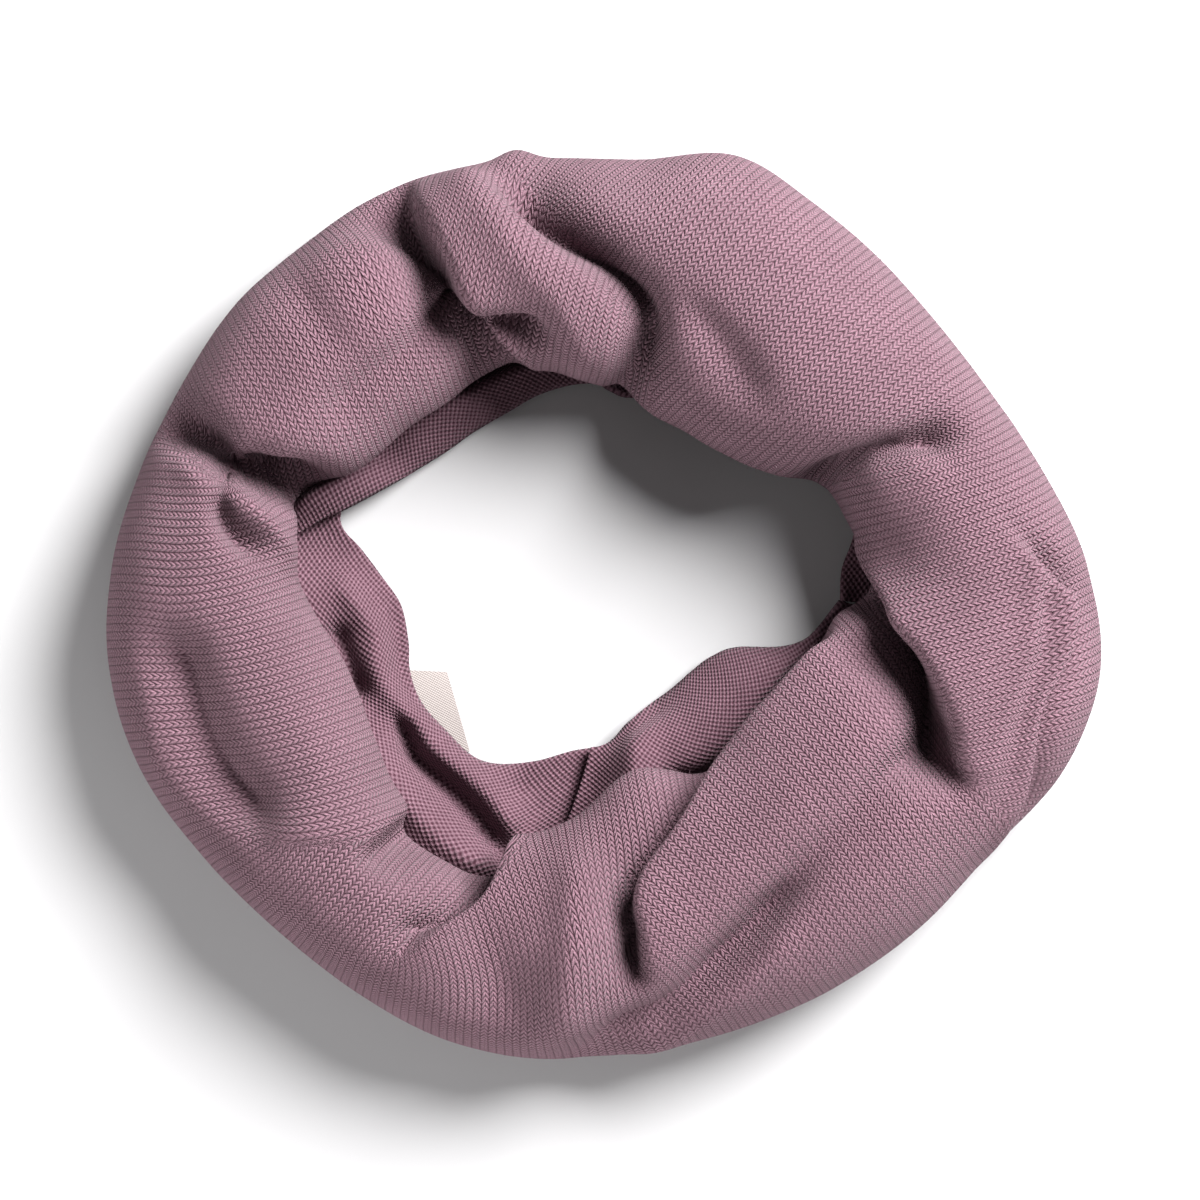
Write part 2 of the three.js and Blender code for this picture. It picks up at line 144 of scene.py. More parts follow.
# %% [markdown]
# ## The ring's sections
#
# A dropped tube makes a ring that is nowhere round. The same table as in the solids gives its section every
# 12 degrees round the hole: how far the roll's outside and its inner edge are from the hole's centre, and
# how high the roll stands. A smooth closed curve runs through the rows, so the outline has no corners but
# those it needs.

# %% Sections, in millimetres, anticlockwise from the right
RING_CENTRE = np.array([-1.1, 8.8])
SECTIONS = np.array([
    # outer, edge, top
    (110.5, 59.5, 44), (103, 56, 45), (97, 47.5, 46), (94.5, 40, 47), (94.5, 36.5, 47),
    (96, 36, 46), (98.5, 36.5, 45), (93.5, 39, 43), (93.5, 44, 42), (96, 47.5, 42),
    (98.5, 48, 42), (99.5, 50, 42), (102, 53.5, 41), (103.5, 58, 39), (106.5, 68, 37),
    (110.5, 69, 38), (113.5, 64, 38), (113.5, 61.5, 38), (111, 63, 38), (109.5, 68.5, 37),
    (110.5, 73.5, 36), (112, 70.5, 36), (111.5, 59.5, 38), (109.5, 50, 40), (108.5, 47.5, 42),
    (108.5, 48.5, 45), (108.5, 46.5, 47), (109, 45.5, 47), (114, 47, 46), (115.5, 53, 45),
])
OUTER, EDGE, TOP = 0, 1, 2
SECTION_STEP = 360 / len(SECTIONS)


def around_ring(column, angle):
    """A column of the sections table at any angles, as a smooth closed curve."""
    place = np.mod(angle, 360) / SECTION_STEP
    row = np.floor(place).astype(int)
    share = place - row
    before, start, end, after = [SECTIONS[(row + k) % len(SECTIONS), column] for k in (-1, 0, 1, 2)]
    start_slope = (end - before) / 2
    end_slope = (after - start) / 2
    cubic = 2 * (start - end) + start_slope + end_slope
    square = 3 * (end - start) - 2 * start_slope - end_slope
    return ((cubic * share + square) * share + start_slope) * share + start


def ring_points(angle, distance, height):
    """Points at angles and distances from the ring's centre."""
    x = RING_CENTRE[0] + distance * np.cos(np.radians(angle))
    y = RING_CENTRE[1] + distance * np.sin(np.radians(angle))
    return np.stack(np.broadcast_arrays(x, y, height), axis=-1)


print("ring", SECTIONS[:, OUTER].max(), "mm from its centre at most,", SECTIONS[:, TOP].max(), "mm high")

# %% [markdown]
# ## The roll's profile
#
# Up from the table the cloth bulges out, leans in over the top, and drops to a round inner edge, where it
# turns under. The rows are shares of each section's width and height, and a Catmull-Rom curve joins them.

# %% The profile as a curve measured along its length
ROLL_SHAPE = np.array([
    # inward, height
    (0.22, 0), (0.13, 0), (0.045, 0.08), (0, 0.32), (0.035, 0.57), (0.13, 0.79), (0.3, 0.94), (0.53, 1.0),
    (0.75, 0.92), (0.91, 0.72), (1, 0.44), (0.97, 0.24), (0.88, 0.14), (0.75, 0.12),
])


def smooth_curve(points, steps=24):
    """A Catmull-Rom curve through points, as short straight pieces."""
    held = np.vstack([2 * points[0] - points[1], points, 2 * points[-1] - points[-2]])
    share = np.linspace(0, 1, steps, endpoint=False)[:, None]
    spans = []
    for before, start, end, after in zip(held, held[1:], held[2:], held[3:]):
        bend = 2 * before - 5 * start + 4 * end - after
        twist = 3 * start - before - 3 * end + after
        spans.append(0.5 * (2 * start + (end - before) * share + bend * share ** 2 + twist * share ** 3))
    return np.vstack([*spans, points[-1:]])


def even_steps(curve, shares):
    """Points at shares of a curve's length."""
    lengths = np.r_[0, np.cumsum(np.linalg.norm(np.diff(curve, axis=0), axis=1))]
    columns = [np.interp(shares * lengths[-1], lengths, column) for column in curve.T]
    return np.stack(columns, axis=-1)


roll_curve = smooth_curve(ROLL_SHAPE)
print("profile curve has", len(roll_curve), "points")

# %% [markdown]
# ## The folds
#
# The rim is far longer than the inner edge, so the cloth between them has to go somewhere: it dives into a
# few deep creases and laps over itself in others. Each row is one fold that the photograph shows, placed as
# a path in plan. left and right are how far the cloth stands out or sinks beside the path, with the
# reach of each, turn is how wide the crease itself is, over is how far the higher side leans out over the
# lower, and fade is how far the fold runs on past its ends before it dies away.

# %% Fold table and how a fold moves the cloth
FOLDS = [
    # name, path, left, right, reach left, reach right, turn, over, fade
    ("upper_left_valley", [(-45, 96), (-39.5, 88.5), (-35, 80.5), (-31, 70.5), (-28, 65), (-22.5, 59)],
     1, -23, 6, 10, 2, 3, 6),
    ("tongue", [(-30, 93), (-21.5, 80.5), (-11, 70), (-3.5, 58.5)], 4, 4, 6, 6, 2, 0, 6),
    ("tongue_ear", [(-24, 63), (-17.5, 62)], -10, -10, 2.6, 2.6, 1.5, 0, 4),
    ("tongue_valley", [(-20, 90), (-11.5, 81.5), (-4, 74.7), (1.5, 68), (3.5, 62), (2, 54.5)],
     -16, -2, 8, 3.5, 2, 2, 6),
    ("upper_dent", [(23, 62), (26, 58), (30, 52)], -4.5, -4.5, 5, 5, 3, 0, 8),
    ("right_shoulder", [(74, 37), (67, 35), (59, 31), (49, 26)], -5, -12, 4.5, 5, 2.2, 0, 5),
    ("pocket_start", [(57, 13), (60, 6), (64, -1)], 1, -14, 6, 5, 2, 2, 4),
    ("right_pocket", [(67, -5), (71.5, -11), (75.5, -18.5), (79, -27), (80, -33)], 2, -22, 9, 11, 2.2, 3, 6),
    ("lower_lap", [(46, -10), (35.5, -22), (29.5, -29.5), (22, -40), (18.5, -45.5), (14.5, -51), (10.5, -56),
                   (7.5, -61), (6.8, -66), (8.2, -71), (8.7, -77)], 2.5, -8.5, 9, 7, 2.2, 2, 6),
    ("lower_slit", [(5, -62), (5.5, -66), (7, -71), (7.5, -76)], -3, -4, 2.5, 3.5, 2, 0, 6),
    ("lower_right_hollow", [(68, -33), (58, -42), (47, -54), (36, -67), (27, -77)],
     -4.5, -4.5, 6, 6, 3, 0, 10),
    ("bottom_rise", [(-5, -62), (-7, -76), (-9, -88)], 4.5, 4.5, 6, 6, 3, 0, 8),
    ("bottom_hollow", [(-26, -76), (-23, -86)], -3.5, -3.5, 7, 7, 3, 0, 8),
    ("lower_cleft", [(-21, -58), (-26.6, -64), (-32.2, -68.2), (-38, -72.5)],
     3.5, -12, 4.5, 6.5, 2.4, 2, 9),
    ("left_step", [(-64, -52), (-56, -51.5), (-50, -50)], 1, -1.5, 5, 6, 2.2, 0, 8),
    ("left_end", [(-49, -51), (-44, -47), (-38, -42)], 1.5, -6, 6, 9, 2.6, 0, 7),
    ("left_pinch", [(-98, 38), (-93, 34.5), (-87, 28.5), (-80, 26), (-74, 23.5), (-68, 22.5)],
     -17.5, -2, 6.5, 3, 2, 2, 6),
    ("pinch_hole", [(-77, 28), (-71, 26.5)], -3, -3, 3.5, 3.5, 2, 0, 5),
    ("left_curl", [(-91, 30), (-86, 26), (-81, 24), (-77, 20.5), (-74.5, 16)], 3.5, 3.5, 2.6, 2.6, 1.5, 0, 6),
    ("left_dimple", [(-85.5, 22.5), (-83, 18.5), (-79, 15)], -7, -7, 2.6, 2.6, 2, 0, 4),
    ("upper_left_dimple", [(-66, 67), (-62, 62)], -2.4, -2.4, 5, 5, 3, 0, 8),
    ("upper_left_inner", [(-56, 46), (-46, 53), (-36, 60)], -5, -5, 6.5, 6.5, 2, 0, 8),
    ("lower_edge", [(-18, -55), (-8, -47.5), (0, -42), (7, -38)], 4, 4, 6, 6, 3, 0, 8),
]
# Folds that run close to the rim, so that they keep their depth nearer to it
RIM_FOLDS = [
    ("right_shelf", [(100, 8), (105.5, 2), (104.5, -11), (98.5, -22.5), (95.5, -38.5), (92.5, -46)],
     -8.5, 4, 3.5, 4, 2.4, 0, 9),
    ("right_inner_shelf", [(97, 4), (97, -8), (92, -22), (89, -34)], -2.5, 1.5, 3, 3, 2.2, 0, 6),
    ("bottom_shelf", [(8, -97), (13.5, -94.7), (19.4, -90), (26, -84), (33, -77), (37, -72)],
     -8, -2, 6.5, 3, 2, 1.2, 12),
    ("bottom_ridge", [(8, -101), (19, -94), (30, -85), (38, -76)], 2, 2, 2.6, 2.6, 1.5, 0, 6),
    ("left_valley", [(-99, -14), (-95, -27), (-89.5, -39), (-83.5, -46)], -11, -6.5, 12, 6, 4.2, 0, 8),
    ("left_ridge", [(-105, -18), (-100.5, -38), (-84.4, -52), (-68.6, -51)], 1, 0, 3, 6, 2, 0, 6),
]
FOLD_POWER = 1.7


def beside_path(path, plan):
    """How far points lie beside a path, positive to its left, and past its ends, and which way is left."""
    nearest = np.full(plan.shape[:-1], np.inf)
    beside = np.zeros_like(nearest)
    past = np.zeros_like(nearest)
    leftward = np.zeros_like(plan)
    for k in range(len(path) - 1):
        step = path[k + 1] - path[k]
        length = np.hypot(*step)
        ahead = step / length
        left = np.array([-ahead[1], ahead[0]])
        away = plan - path[k]
        along = away @ ahead
        side = away @ left
        over_end = np.abs(along - np.clip(along, 0, length))
        distance = np.hypot(over_end, side)
        is_end = (k == 0) & (along < 0) | (k == len(path) - 2) & (along > length)
        closer = distance < nearest
        nearest = np.where(closer, distance, nearest)
        beside = np.where(closer, np.where(is_end, side, np.sign(side) * distance), beside)
        past = np.where(closer, np.where(is_end, over_end, 0), past)
        leftward = np.where(closer[..., None], left, leftward)
    return beside, past, leftward


def smooth_step(x, low, high):
    share = np.clip((x - low) / (high - low), 0, 1)
    return share * share * (3 - 2 * share)


def fold_moves(plan, folds):
    """How far the folds move cloth out along its normal, and sideways in plan."""
    out = np.zeros(plan.shape[:-1])
    sideways = np.zeros_like(plan)
    for _, path, left, right, reach_left, reach_right, turn, over, fade_length in folds:
        line = smooth_curve(np.array(path, dtype=float), 6)
        beside, past, leftward = beside_path(line, plan)
        to_left = left * np.exp(-np.abs(beside / reach_left) ** FOLD_POWER)
        to_right = right * np.exp(-np.abs(beside / reach_right) ** FOLD_POWER)
        side = smooth_step(beside, -turn, turn)
        fade = np.exp(-(past / fade_length) ** 2)
        out += (to_right + (to_left - to_right) * side) * fade
        lean = over * np.exp(-((beside - turn) / (2 * turn)) ** 2) * fade * np.sign(right - left)
        sideways += leftward * lean[..., None]
    return out, sideways


print(len(FOLDS), "folds on the roll")

# %% [markdown]
# ## The rolled stretch
#
# bmesh's grid operator gives the cloth its faces: one way round the ring, the other way over the profile.
# Its points are then moved on to the sections, pushed along their own normals by the folds, and shaken a
# little by smooth noise, because jersey never lies perfectly fair. Low on the outer wall, where the camera
# doesn't see, upright creases like those above run down to the table. One more row is the tip of an inner
# layer that looks out past the rim at the top.

# %% Points of the rolled stretch
ROLL_AROUND = 440
ROLL_ACROSS = 96
TOP_CLOSENESS = 0.35
WALL = 1.8
FOLD_BAND = (0.19, 0.32, 0.8, 0.94)
RIM_FOLD_BAND = (0.165, 0.24, 0.8, 0.94)
CREASE_BAND = (0.04, 0.08, 0.11, 0.19)
WALL_CREASES = [
    # angle, depth, reach
    (14, 2.4, 5), (41, 1.8, 6), (63, 2.6, 5), (90, 2.2, 5), (102, -2, 5), (121, 2, 5.5), (139, 2.7, 5),
    (171, 3, 5), (197, 1.8, 6), (222, 2.6, 5), (246, 2, 6), (268, 2.8, 5), (301, 2.2, 6), (322, 2.8, 5),
]
RIM_TIP = (101.5, 2.4, 4.5)
RIM_TIP_BAND = (0.1, 0.17, 0.24, 0.3)
UNDER_ROLL = 5.4


def in_band(share, band):
    start, full, fading, gone = band
    return smooth_step(share, start, full) * (1 - smooth_step(share, fading, gone))


def grid_normals(points, is_ring):
    """The direction that a grid of points faces at each of its points."""
    if is_ring:
        along = np.roll(points, -1, axis=0) - np.roll(points, 1, axis=0)
    else:
        along = np.gradient(points, axis=0)
    across = np.gradient(points, axis=1)
    facing = np.cross(along, across)
    return facing / np.maximum(np.linalg.norm(facing, axis=-1, keepdims=True), 1e-9)


def soft_noise(points, size, seed):
    """Smooth noise from -1 to 1 at points in millimetres."""
    flat = points.reshape(-1, 3) / size + seed
    return np.array([noise.noise(Vector(p)) for p in flat]).reshape(points.shape[:-1])


def smooth_roll(around, across):
    angle = np.linspace(0, 360, around, endpoint=False)[:, None]
    share = np.linspace(0, 1, across + 1)
    share += TOP_CLOSENESS * np.sin(2 * math.pi * share) / (2 * math.pi)
    profile = even_steps(roll_curve, share)
    outer = around_ring(OUTER, angle)
    width = outer - around_ring(EDGE, angle)
    distance = outer - profile[None, :, 0] * width
    points = ring_points(angle, distance, profile[None, :, 1] * around_ring(TOP, angle))
    return angle, share[None, :], points


def folded_roll(around, across):
    """The roll's outer face with its folds."""
    angle, share, points = smooth_roll(around, across)
    facing = grid_normals(points, True)
    out, sideways = fold_moves(points[..., :2], FOLDS)
    out_at_rim, _ = fold_moves(points[..., :2], RIM_FOLDS)
    strength = in_band(share, FOLD_BAND)
    away = np.radians(np.mod(angle - np.array([c[0] for c in WALL_CREASES]) + 180, 360) - 180)
    away = away * around_ring(OUTER, angle)
    creases = np.zeros(around)
    for k, (_, depth, reach) in enumerate(WALL_CREASES):
        creases += depth * np.exp(-(away[:, k] / reach) ** 2)
    out = out * strength + out_at_rim * in_band(share, RIM_FOLD_BAND)
    out = out - creases[:, None] * in_band(share, CREASE_BAND)
    tip_angle, tip_reach, tip_width = RIM_TIP
    tip = np.radians(np.mod(angle - tip_angle + 180, 360) - 180) * around_ring(OUTER, angle)
    out = out + tip_reach * np.exp(-(tip / tip_width) ** 2) * in_band(share, RIM_TIP_BAND)
    lumps = 0.9 * soft_noise(points, 26, 3.1) + 0.45 * soft_noise(points, 11, 8.7)
    lumps_on_wall = 0.25 + 0.75 * smooth_step(share, 0.2, 0.36)
    out = out + lumps * lumps_on_wall * smooth_step(share, 0.04, 0.12)
    points = points + facing * out[..., None]
    points[..., :2] += sideways * strength[..., None]
    floor_level = np.where(share > 0.5, UNDER_ROLL, 0)
    points[..., 2] = np.maximum(points[..., 2], floor_level)
    return points


roll_points = folded_roll(ROLL_AROUND, ROLL_ACROSS)
print("rolled stretch:", roll_points.shape, "top at", round(roll_points[..., 2].max(), 1), "mm")

# %% [markdown]
# ## How the stitches lie
#
# Stockinette stitches keep their size wherever the cloth goes, so a plain wrap round the ring would squash
# them at the inner edge. Instead each point gets a count of wales and courses, found so that neighbours
# differ by the real distance between them. It is the same sum as levelling a survey: every grid edge states
# a difference, and conjugate gradients find the counts that fit all of them best. Across the deepest
# creases nothing is asked, and there the wales run out of sight: a face that such a crease crosses takes
# its counts from one corner's slopes, so that no stitch is smeared. The direction of the wales in each
# stretch is read from the photograph.

# %% Direction of the wales in each stretch of the roll
WALE_PITCH = 1.9
COURSE_PITCH = 1.32
STRETCHES = {
    # where on the ring, as angle and distance from its centre, and the wales' outward direction there
    "right_end": [
        (-24, 101, 6), (-17, 95, 12), (-13, 83, 14), (-5, 70, 14), (-4, 104, 32), (4, 70, 12), (3, 92, 20),
        (2, 103, 38), (11, 83, 18), (13, 71, 12), (12, 60, 12), (10, 94, 30),
    ],
    "upper_right": [
        (21, 75, 26), (24, 90, 30), (27, 64, 46), (30, 54, 42), (36, 70, 42), (35, 86, 32), (38, 45, 34),
        (50, 52, 36), (55, 71, 43), (57, 86, 34), (70, 70, 50), (72, 41, 44), (78, 75, 50), (81, 84, 44),
        (88, 66, 62), (92, 84, 56),
    ],
    "tongue": [(97, 72, 68), (104, 86, 74), (106, 75, 80), (111, 89, 74), (114, 79, 78), (108, 60, 84)],
    "upper_left": [
        (121, 84, 110), (122, 59, 108), (125, 74, 122), (127, 90, 128), (137, 73, 122), (137, 89, 124),
        (145, 66, 116), (147, 91, 128), (150, 76, 114), (156, 96, 132), (158, 71, 106), (161, 81, 112),
        (163, 92, 110), (138, 55, 105),
    ],
    "left": [
        (170, 89, 172), (171, 100, 156), (177, 77, 205), (177, 99, 164), (184, 88, 182), (185, 77, 198),
        (190, 100, 164), (193, 78, 194), (195, 68, 208), (198, 92, 184), (204, 72, 202), (202, 107, 182),
        (208, 87, 188), (212, 101, 176), (212, 77, 202), (217, 67, 204),
    ],
    "lower_left": [
        (219, 99, 228), (224, 91, 226), (229, 83, 226), (236, 76, 226), (238, 101, 228), (247, 80, 224),
    ],
    "bottom": [
        (246, 106, 260), (250, 91, 286), (252, 101, 266), (255, 77, 302), (257, 88, 280), (265, 97, 268),
        (263, 75, 286), (264, 86, 276), (272, 63, 278), (271, 97, 286), (272, 80, 292),
    ],
    "lower_right": [
        (278, 98, 318), (279, 80, 321), (282, 64, 316), (288, 86, 320), (290, 103, 312), (296, 57, 318),
        (302, 88, 310), (305, 63, 316), (308, 95, 307), (313, 86, 302), (313, 102, 316), (321, 46, 318),
        (320, 70, 310), (325, 87, 302), (328, 56, 314), (330, 81, 303), (345, 61, 312), (327, 98, 314),
    ],
}
# Where each stretch begins, going round anticlockwise, as pairs of distance from the centre and angle, and
# how far from the centre the crease there is deep enough to swallow wales
BOUNDARIES = [
    (108, [(50, 3), (58.5, -2), (66, -11.5), (79, -21), (92.6, -28.5), (102, -31), (118, -33)]),
    (70, [(50, 19), (60, 19.5), (75, 20.5), (110, 18)]),
    (88, [(40, 73), (50, 77), (57.5, 82), (69, 90.5), (81, 98.5), (100, 106)]),
    (96, [(44, 113), (54.6, 116), (62.3, 118.5), (79, 118), (88.5, 117.5), (96, 116), (110, 115)]),
    (102, [(60, 167.2), (68, 167), (75, 167), (81, 166.6), (88.6, 166), (96, 163.5), (102, 162.4),
           (112, 160.5)]),
    (95, [(60, 230), (70, 231.5), (78, 230), (90, 223), (103, 215), (112, 210)]),
    (97, [(60, 255), (69.7, 252), (77.1, 249.3), (83, 246.6), (88.7, 244.4), (94, 243), (102, 240),
          (114, 237)]),
    (90, [(44, 334), (47, 313), (49, 298), (54, 293), (57.7, 287.3), (61.8, 282.3), (65.8, 278),
          (70.3, 275), (75.2, 274.3), (80.3, 274.8), (86.4, 275), (112, 275)]),
]
BLEND = 3
READING_REACH = 8
RIM_ROW = 14
SOLVER_STEPS = 700


def turn_between(angle, other):
    return np.mod(angle - other + 180, 360) - 180


def polar(points):
    plan = points[..., :2] - RING_CENTRE
    return np.hypot(plan[..., 0], plan[..., 1]), np.degrees(np.arctan2(plan[..., 1], plan[..., 0]))


def wale_direction(points):
    """The wales' direction in plan at each point, and how far past each boundary it is, in millimetres."""
    distance, angle = polar(points)
    past = []
    for _, rows in BOUNDARIES:
        rows = np.array(rows, dtype=float)
        past.append(np.radians(turn_between(angle, np.interp(distance, rows[:, 0], rows[:, 1]))) * distance)
    direction = np.zeros(points.shape[:-1] + (2,))
    for k, readings in enumerate(STRETCHES.values()):
        weight = smooth_step(past[k], -BLEND, BLEND) * smooth_step(-past[(k + 1) % len(past)], -BLEND, BLEND)
        heading = np.zeros_like(direction)
        for read_angle, read_distance, wales in readings:
            away = np.linalg.norm(points[..., :2] - ring_points(read_angle, read_distance, 0.0)[:2], axis=-1)
            toward = np.array([math.cos(math.radians(wales)), math.sin(math.radians(wales))])
            heading += toward / (away[..., None] ** 2 + READING_REACH ** 2) ** 1.5
        heading /= np.linalg.norm(heading, axis=-1, keepdims=True)
        direction += heading * weight[..., None]
    direction += 1e-6
    return direction / np.linalg.norm(direction, axis=-1, keepdims=True), past


def counted(points, direction, is_ring, keep_around, keep_inward):
    """Wales and courses at each point of a grid, by conjugate gradients over its edges."""
    facing = grid_normals(points, is_ring)
    sideways = np.stack([-direction[..., 1], direction[..., 0], np.zeros(direction.shape[:-1])], axis=-1)
    up_wale = np.cross(facing, sideways)
    up_wale /= np.maximum(np.linalg.norm(up_wale, axis=-1, keepdims=True), 1e-6)
    cross_wale = np.cross(up_wale, facing)
    after = np.roll(points, -1, axis=0) - points
    inward = np.diff(points, axis=1)
    results = []
    for heading, pitch in ((cross_wale, WALE_PITCH), (up_wale, COURSE_PITCH)):
        round_steps = np.sum(after * (heading + np.roll(heading, -1, axis=0)) / 2, axis=-1) / pitch
        inward_steps = np.sum(inward * (heading[:, 1:] + heading[:, :-1]) / 2, axis=-1) / pitch
        total = 0
        if is_ring:
            total = np.rint(round_steps[:, RIM_ROW].sum()) if pitch == WALE_PITCH else 0
            round_steps = round_steps - total / len(points)

        def spread(values):
            """The sum that conjugate gradients solve: differences, weighted and gathered again."""
            along = (np.roll(values, -1, axis=0) - values) * keep_around
            over = np.diff(values, axis=1) * keep_inward
            gathered = np.roll(along, 1, axis=0) - along
            gathered[:, 1:] += over
            gathered[:, :-1] -= over
            return gathered

        asked = np.roll(round_steps * keep_around, 1, axis=0) - round_steps * keep_around
        asked[:, 1:] += inward_steps * keep_inward
        asked[:, :-1] -= inward_steps * keep_inward
        asked -= asked.mean()
        along_rim = np.cumsum(round_steps[:, RIM_ROW]) - round_steps[:, RIM_ROW]
        counts = np.cumsum(np.c_[along_rim, inward_steps], axis=1)
        counts -= counts[:, RIM_ROW:RIM_ROW + 1] - along_rim[:, None]
        left_over = asked - spread(counts)
        search = left_over.copy()
        size = np.sum(left_over ** 2)
        for _ in range(SOLVER_STEPS):
            pushed = spread(search)
            step = size / np.sum(search * pushed)
            counts += step * search
            left_over -= step * pushed
            new_size = np.sum(left_over ** 2)
            search = left_over + search * new_size / size
            size = new_size
        print("left over", round(float(np.sqrt(size)), 4))
        results.append((counts + total * np.arange(len(points))[:, None] / len(points), total))
    (wales, wale_total), (courses, _) = results
    return wales, courses, wale_total, (cross_wale / WALE_PITCH, up_wale / COURSE_PITCH)


CUT_REACH = 6
roll_direction, past_boundary = wale_direction(roll_points)
keep_around = np.ones(roll_points.shape[:-1])
keep_inward = np.ones((ROLL_AROUND, ROLL_ACROSS))
roll_distance, _ = polar(roll_points)
for (reach, _), past in zip(BOUNDARIES, past_boundary):
    near = (np.abs(past) < CUT_REACH) & (roll_distance < reach)
    near[:, :RIM_ROW - 3] = False
    keep_around[near & ((past < 0) != (np.roll(past, -1, axis=0) < 0))] = 0
    keep_inward[near[:, :-1] & ((past[:, :-1] < 0) != (past[:, 1:] < 0))] = 0
roll_wales, roll_courses, wales_round, roll_slopes = counted(
    roll_points, roll_direction, True, keep_around, keep_inward)
cut_faces = (keep_around[:, :-1] * keep_around[:, 1:] * keep_inward * np.roll(keep_inward, -1, axis=0)) == 0
print("wales round the tube:", wales_round, "courses on the roll:", round(np.ptp(roll_courses), 1))

# %% [markdown]
# ## From points to cloth
#
# One helper makes every stretch: a bmesh grid whose vertices take the points, whose loops take the stitch
# counts as a UV map, and whose ends are welded where the grid closes on itself. smooth_vert then rounds the
# creases a little, as cloth this thick does by itself. A Solidify modifier gives the jersey its thickness
# inwards, and is applied so that the stored mesh is the real wall.

# %% The cloth helper
def cloth_piece(
        name, points, wales, courses, finish, is_ring=False, total=0, cut=None, slopes=None, passes=2):
    """A shell of jersey through a grid of points, with its stitch counts as UVs."""
    around, across = points.shape[0], points.shape[1] - 1
    spans = around if is_ring else around - 1
    bm = bmesh.new()
    bmesh.ops.create_grid(bm, x_segments=spans, y_segments=across, size=1.0)
    stitches = bm.loops.layers.uv.verify()
    bm.verts.index_update()
    place = {}
    for vert in bm.verts:
        place[vert.index] = (round((vert.co.x + 1) / 2 * spans), round((vert.co.y + 1) / 2 * across))
    for face in bm.faces:
        corners = [place[loop.vert.index] for loop in face.loops]
        first = min(corners)
        is_cut = cut is not None and cut[first]
        for loop, (i, j) in zip(face.loops, corners):
            if is_cut:
                step = points[i % around, j] - points[first]
                uv = (wales[first] + step @ slopes[0][first], courses[first] + step @ slopes[1][first])
            else:
                uv = (wales[i % around, j] + i // around * total, courses[i % around, j])
            loop[stitches].uv = uv
    for vert in bm.verts:
        i, j = place[vert.index]
        vert.co = Vector(points[i % around, j]) * MM
    bmesh.ops.remove_doubles(bm, verts=bm.verts, dist=1e-7)
    for _ in range(passes):
        inner = [vert for vert in bm.verts if not vert.is_boundary]
        bmesh.ops.smooth_vert(bm, verts=inner, factor=0.5, use_axis_x=True, use_axis_y=True, use_axis_z=True)
    mesh = bpy.data.meshes.new(name)
    bm.to_mesh(mesh)
    bm.free()
    mesh.uv_layers[0].name = "stitches"
    piece = bpy.data.objects.new(name, mesh)
    bpy.context.scene.collection.objects.link(piece)
    mesh.materials.append(finish)
    thickness = piece.modifiers.new("wall", "SOLIDIFY")
    thickness.thickness = WALL * MM
    thickness.offset = -1
    apply_modifiers(piece)
    for polygon in piece.data.polygons:
        polygon.use_smooth = True
    print(name, len(piece.data.polygons), "faces, box", [round(x * 1000, 1) for x in piece.dimensions])
    return piece


def apply_modifiers(piece):
    """Store a piece's mesh as its modifiers leave it."""
    evaluated = piece.evaluated_get(bpy.context.evaluated_depsgraph_get())
    finished = bpy.data.meshes.new_from_object(evaluated)
    piece.modifiers.clear()
    piece.data = finished


def cloth_area(piece):
    return sum(polygon.area for polygon in piece.data.polygons) / 2


# %% [markdown]
# ## Mauve jersey
#
# Seen close, each stitch on the knit face is a V of two yarns, and on the purl face a row of small bumps
# laid like bricks. Both are drawn by a few Math nodes from the stitch counts in the UV map, so they follow
# the cloth into its folds. The height drives bump and paints shade into the gaps between yarns, a noise in
# Object coordinates gives the yarn its heather, and sheen gives the bloom that wool has at a grazing angle.

# %% Node helpers and the two faces of the jersey
YARN = (0.130, 0.072, 0.091)
# The dark of the gaps between stitches is painted shade, for the shade that falls between the yarns.
GAP_SHADE = (0.034, 0.011, 0.018)


class Tree:
    """Short names for making and joining a material's nodes."""

    def __init__(self, name):
        self.material = bpy.data.materials.new(name)
        self.material.use_nodes = True
        self.nodes = self.material.node_tree.nodes
        self.links = self.material.node_tree.links
        self.shader = self.nodes["Principled BSDF"]

    def add(self, kind, **settings):
        node = self.nodes.new(kind)
        for key, value in settings.items():
            setattr(node, key, value)
        return node

    def join(self, value, socket):
        if isinstance(value, (int, float)):
            socket.default_value = value
        else:
            self.links.new(value, socket)

    def math(self, operation, first, second=0.0, third=0.0):
        node = self.add("ShaderNodeMath", operation=operation)
        for value, socket in zip((first, second, third), node.inputs):
            self.join(value, socket)
        return node.outputs[0]

    def ramp(self, value, low, high):
        node = self.add("ShaderNodeMapRange", interpolation_type="SMOOTHSTEP")
        self.join(value, node.inputs["Value"])
        node.inputs["From Min"].default_value = low
        node.inputs["From Max"].default_value = high
        return node.outputs["Result"]

    def mix(self, share, first, second):
        node = self.add("ShaderNodeMix", data_type="RGBA")
        self.join(share, node.inputs[0])
        for value, socket in ((first, node.inputs[6]), (second, node.inputs[7])):
            if isinstance(value, tuple):
                socket.default_value = (*value, 1.0)
            else:
                self.links.new(value, socket)
        return node.outputs[2]

    def noise(self, scale, detail=2.0):
        coordinates = self.add("ShaderNodeTexCoord")
        node = self.add("ShaderNodeTexNoise")
        self.links.new(coordinates.outputs["Object"], node.inputs["Vector"])
        node.inputs["Scale"].default_value = scale
        node.inputs["Detail"].default_value = detail
        return node.outputs["Fac"]


